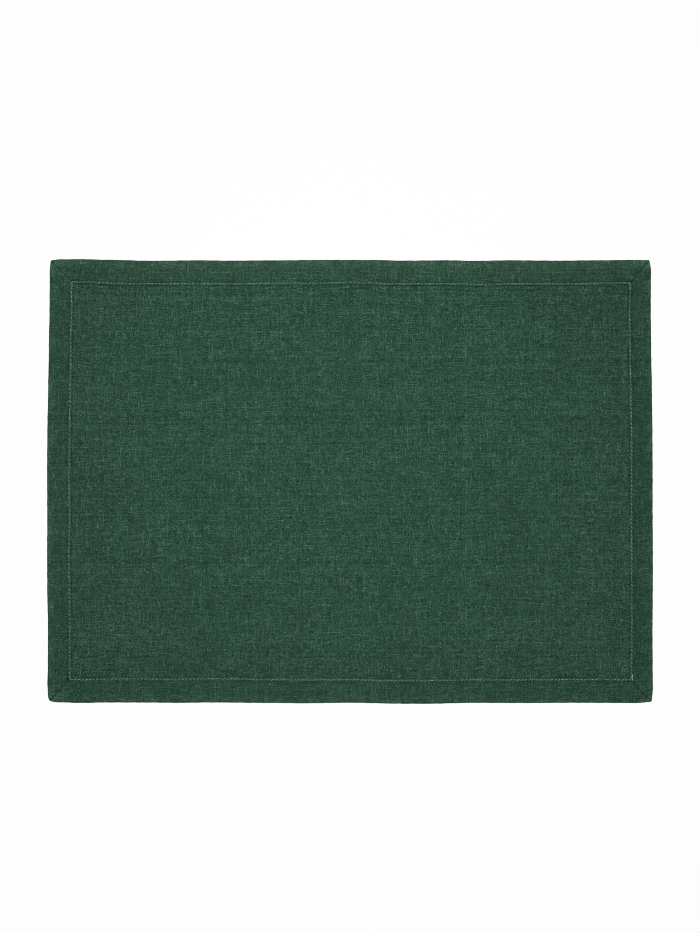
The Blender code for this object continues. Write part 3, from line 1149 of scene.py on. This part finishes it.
def add_lines(parts, rows, rim, tones_and_light):
    """Carries one face of the cloth out from the panel's rim, line by line. Returns the last line."""
    before, before_line = rim, line_round(rows[0])
    reach = {side: way_past_fold(rows, side) for side in SIDES}
    for number, row in enumerate(rows[1:], start=1):
        line = line_round(row)
        # Each side of the hem gets its tone with painted light, times painted shade in holes and the groove.
        tone = np.array([tones_and_light[side] for side in SIDES])[line.side] if row.mitre else tones_and_light["below"]
        tone = tone * line_shade(row, line)
        evenness = HEM_EVENNESS if row.mitre else 0.0
        # Wear with painted highlights on the folds, and painted shade in the creases.
        heights, painted_light_and_wear = line_heights(row, line), line_wear_and_painted_light(row, line)
        here = parts.add_points(line.x, line.y, heights, painted_light_and_wear, tone, evenness)
        steps = min(line.count, before_line.count)
        split_here, split_before = line.count // steps, before_line.count // steps
        start = np.arange(steps)
        corners = [(line, here, number, start * split_here + part) for part in range(split_here + 1)]
        corners += [
            (before_line, before, number - 1, start * split_before + part)
            for part in range(split_before, -1, -1)
        ]
        faces = np.stack([names[index % len(names)] for _, names, _, index in corners], -1)
        sides = line.side[start * split_here]
        flat = np.zeros((steps, len(corners), 2))
        for corner, (corner_line, _, row_number, index) in enumerate(corners):
            x = corner_line.true_x[index % corner_line.count]
            y = corner_line.true_y[index % corner_line.count]
            for side_number, side in enumerate(SIDES):
                chosen = sides == side_number
                flat_x, flat_y = flat_place(side, reach[side][row_number], x[chosen], y[chosen])
                flat[chosen, corner, 0], flat[chosen, corner, 1] = flat_x, flat_y
        parts.add_faces(faces, flat)
        before, before_line = here, line
    return before


def close_raw_edge(parts, face_end, back_end):
    """The strip of cut threads between the two faces, at the raw edge inside the hem."""
    faces = np.stack([face_end, back_end, np.roll(back_end, -1), np.roll(face_end, -1)], -1)
    line = line_round(FACE_ROWS[-1])
    along = np.stack([line.true_x, line.true_y], -1)
    after = np.roll(along, -1, axis=0)
    parts.add_faces(faces, np.stack([along, along, after, after], 1))


# %% [markdown]
# The hem's top is the cloth's other face, turned up. Each side of it is painted a little lighter or darker,
# as the light falls on it, so each has a tone of its own: lightest on the top side, darkest on the right.

# %% Build the linen
HEM_TONES_AND_LIGHT = {"bottom": 1.01, "right": 0.95, "top": 1.055, "left": 0.975, "below": 0.97}
PANEL_TONES = {"bottom": 1.0, "right": 1.0, "top": 1.0, "left": 1.0, "below": 1.0}


def cloth_mesh():
    parts = ClothParts()
    face_rim = add_panel(parts, FACE_ROWS[0], HEM_TONES_AND_LIGHT["below"])
    face_end = add_lines(parts, FACE_ROWS, face_rim, HEM_TONES_AND_LIGHT)
    back_rim = add_panel(parts, BACK_ROWS[0], PANEL_TONES["below"])
    back_end = add_lines(parts, BACK_ROWS, back_rim, PANEL_TONES)
    close_raw_edge(parts, face_end, back_end)
    points = (np.concatenate(parts.points) * MM).tolist()
    values = zip(("worn", "tone_and_painted_light", "evenness"), np.concatenate(parts.values, -1))
    flat = np.concatenate(parts.flat) * MM
    return closed_mesh("linen_sheet", points, parts.faces, "cut_cloth", flat, values, linen_finish)


linen = add_to_scene("linen_sheet", cloth_mesh())
linen_triangles = sum(len(face.vertices) - 2 for face in linen.data.polygons)
print("linen:", len(linen.data.polygons), "faces,", linen_triangles, "triangles")

# %% [markdown]
# ## The stitches
#
# One row of lockstitch holds the hem, just outside its inner edge. On top, each stitch is a short piece
# of thread that comes out of one needle hole and goes down the next. It lies a little askew, because the
# two threads of a lockstitch pull on it from either side. The thread is two plies twisted together, so
# its section has two lobes that turn as it goes. The row starts and ends at the lower right corner, where
# two more stitches, rubbed pale, lie over the first ones.

# %% Stitch sizes and holes
Thread = namedtuple("Thread", "half_width half_height reach rise sink turns")
TOP_THREAD = Thread(0.30, 0.22, 0.79, 0.20, 0.26, 1.3)
UNDER_THREAD = Thread(0.20, 0.16, 0.76, 0.11, 0.24, 1.3)
THREAD_SIDES = 12
THREAD_RINGS = 9
LOBE_DEPTH = 0.19
STITCH_SKEW = math.radians(16)
SKEW_SWING = math.radians(8)
HOLE_WANDER = 0.12
STITCH_PLUMPNESS = {"bottom": 1.0, "right": 1.1, "top": 0.96, "left": 1.15}
STITCH_ARCH = 0.7
THREAD_SIZES = (0.92, 1.08)
YARN_PIECES = 400.0
SEED = 11
Tack = namedtuple("Tack", "x y length lean light")
TACKS = (
    Tack(224.2, -154.5, 2.5, 0.2, 7.0),
    Tack(224.5, -157.0, 2.4, 0.5, 6.0),
)
TACK_LIFT = 0.14


def holes_along(side):
    """The needle holes of one side in the true rectangle, in the direction the lines run."""
    shares = np.linspace(0, 1, STITCH_COUNT[side] + 1)
    if side in ("top", "left"):
        shares = shares[::-1]
    if AXIS[side] == "x":
        x = SEAM.left + SEAM_LENGTH["x"] * shares
        y = np.full_like(x, SEAM.bottom if side == "bottom" else SEAM.top)
    else:
        y = SEAM.bottom + SEAM_LENGTH["y"] * shares
        x = np.full_like(y, SEAM.right if side == "right" else SEAM.left)
    return x, y


def seam_floor(side, x, y, row):
    """The height of the cloth between two holes, at places on the seam."""
    along = x if AXIS[side] == "x" else y
    fade = np.clip(from_corner(x, y, SEAM) / PUFF_FADE, 0, 1)
    return row.height + row.lift * puff_height(side, along) * fade


def seam_row(rows, upper):
    """The row of the section that the stitches lie on: the upper one on top, the lower one below."""
    on_seam = [row for row in rows if row.start == "edge" and row.place == -STITCHES_FROM_EDGE]
    return max(on_seam, key=lambda row: row.height * (1 if upper else -1))


# %% [markdown]
# Each stitch is a bent tube. Its rings lean with the thread, so that it dives into the cloth at both ends,
# and a map along and round it carries the fibres.

# %% The stitches' mesh
class StitchParts:
    """Gathers the points and faces of the stitches while they are built, with the light on each."""

    def __init__(self, thread, up):
        self.thread = thread
        self.up = up
        self.steps = np.linspace(0, 1, THREAD_RINGS)
        self.round_it = np.arange(THREAD_SIDES) * 2 * math.pi / THREAD_SIDES
        self.points = []
        self.faces = []
        self.yarn = []
        self.light = []

    def add_stitch(self, middle, way, level, plumpness, light, chance):
        """One stitch: a bent piece of two-ply thread that comes out of the cloth and goes in again."""
        thread, steps = self.thread, self.steps
        length = np.hypot(*way)
        ahead = way / length
        aside = np.array([-ahead[1], ahead[0]])
        arch = np.sin(math.pi * steps) ** STITCH_ARCH
        lift = -thread.sink + (thread.sink + thread.rise) * arch
        slope = np.gradient(lift, steps * length)
        size = plumpness * chance.uniform(*THREAD_SIZES)
        phase = chance.uniform(0, 2 * math.pi)
        first = len(self.points)
        centres = middle + np.outer(steps - 0.5, way)
        twists = thread.turns * 2 * math.pi * steps
        for centre, raised, lean, twist in zip(centres, lift, np.arctan(slope), twists):
            lobes = 1 + LOBE_DEPTH * np.cos(2 * self.round_it + phase + twist)
            over = np.cos(self.round_it) * thread.half_width * lobes * size
            high = np.sin(self.round_it) * thread.half_height * lobes * size
            flat = centre + np.outer(over, aside) - np.outer(high, ahead) * math.sin(lean) * self.up
            rise = level + self.up * (raised + high * math.cos(lean))
            self.points += (np.column_stack([flat, rise]) * MM).tolist()
        self.light += [light] * (THREAD_RINGS * THREAD_SIDES)
        self.add_skin(first, length / thread.half_width / 2, chance.uniform(0, YARN_PIECES))

    def add_skin(self, first, widths_long, from_here):
        """The faces of one stitch, with a map along and round its yarn."""
        for ring in range(THREAD_RINGS - 1):
            along = [from_here + widths_long * self.steps[ring + end] for end in (0, 1)]
            for place in range(THREAD_SIDES):
                after = (place + 1) % THREAD_SIDES
                base = first + ring * THREAD_SIDES
                self.faces.append((base + place, base + after, base + after + THREAD_SIDES,
                                   base + place + THREAD_SIDES))
                low, high = (end / THREAD_SIDES * math.pi for end in (place, place + 1))
                self.yarn += [(along[0], low), (along[0], high), (along[1], high), (along[1], low)]
        ends = ((0, range(THREAD_SIDES - 1, -1, -1)), (THREAD_RINGS - 1, range(THREAD_SIDES)))
        for ring, places in ends:
            self.faces.append(tuple(first + ring * THREAD_SIDES + place for place in places))
            self.yarn += [(from_here, 0.0)] * THREAD_SIDES


def stitch_mesh(name, thread, upper, chance):
    """All stitches on one face of the mat, as one mesh."""
    row = seam_row(FACE_ROWS, upper)
    parts = StitchParts(thread, 1.0 if upper else -1.0)
    for side in SIDES:
        hole_x, hole_y = holes_along(side)
        floor = seam_floor(side, hole_x, hole_y, row)
        holes = np.stack(laid_out(*seam_shift(hole_x, hole_y, SEAM)), -1)
        holes = holes + chance.normal(0, HOLE_WANDER, holes.shape)
        for start, end, low, high in zip(holes, holes[1:], floor, floor[1:]):
            skew = STITCH_SKEW + chance.normal(0, SKEW_SWING)
            turn = np.array([[math.cos(skew), -math.sin(skew)], [math.sin(skew), math.cos(skew)]])
            way = turn @ (end - start) * thread.reach
            level, light = (low + high) / 2, chance.normal(0, 1)
            parts.add_stitch((start + end) / 2, way, level, STITCH_PLUMPNESS[side], light, chance)
    if upper:
        for tack in TACKS:
            middle, way = np.array([tack.x, tack.y]), np.array([tack.lean, tack.length])
            parts.add_stitch(middle, way, row.height + TACK_LIFT, 1.0, tack.light, chance)
    values = (("light", parts.light),)
    return closed_mesh(name, parts.points, parts.faces, "yarn", parts.yarn, values, thread_finish)


chance = np.random.default_rng(SEED)
needle_thread = add_to_scene("needle_thread", stitch_mesh("needle_thread", TOP_THREAD, True, chance))
bobbin_thread = add_to_scene("bobbin_thread", stitch_mesh("bobbin_thread", UNDER_THREAD, False, chance))
for piece in (needle_thread, bobbin_thread):
    print(piece.name, len(piece.data.polygons), "faces")

# %% [markdown]
# ## What the pieces stand for
#
# The linen and both threads are fixed to the mat and together stand for its one solid. The linen is a
# sheet that simply lies on the table. When it was cut, it was larger all round by what the hem takes up.

# %% Declarations
for piece, slot in ((linen, "linen"), (needle_thread, "thread"), (bobbin_thread, "thread")):
    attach(piece, "root")
    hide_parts("linen_cloth")
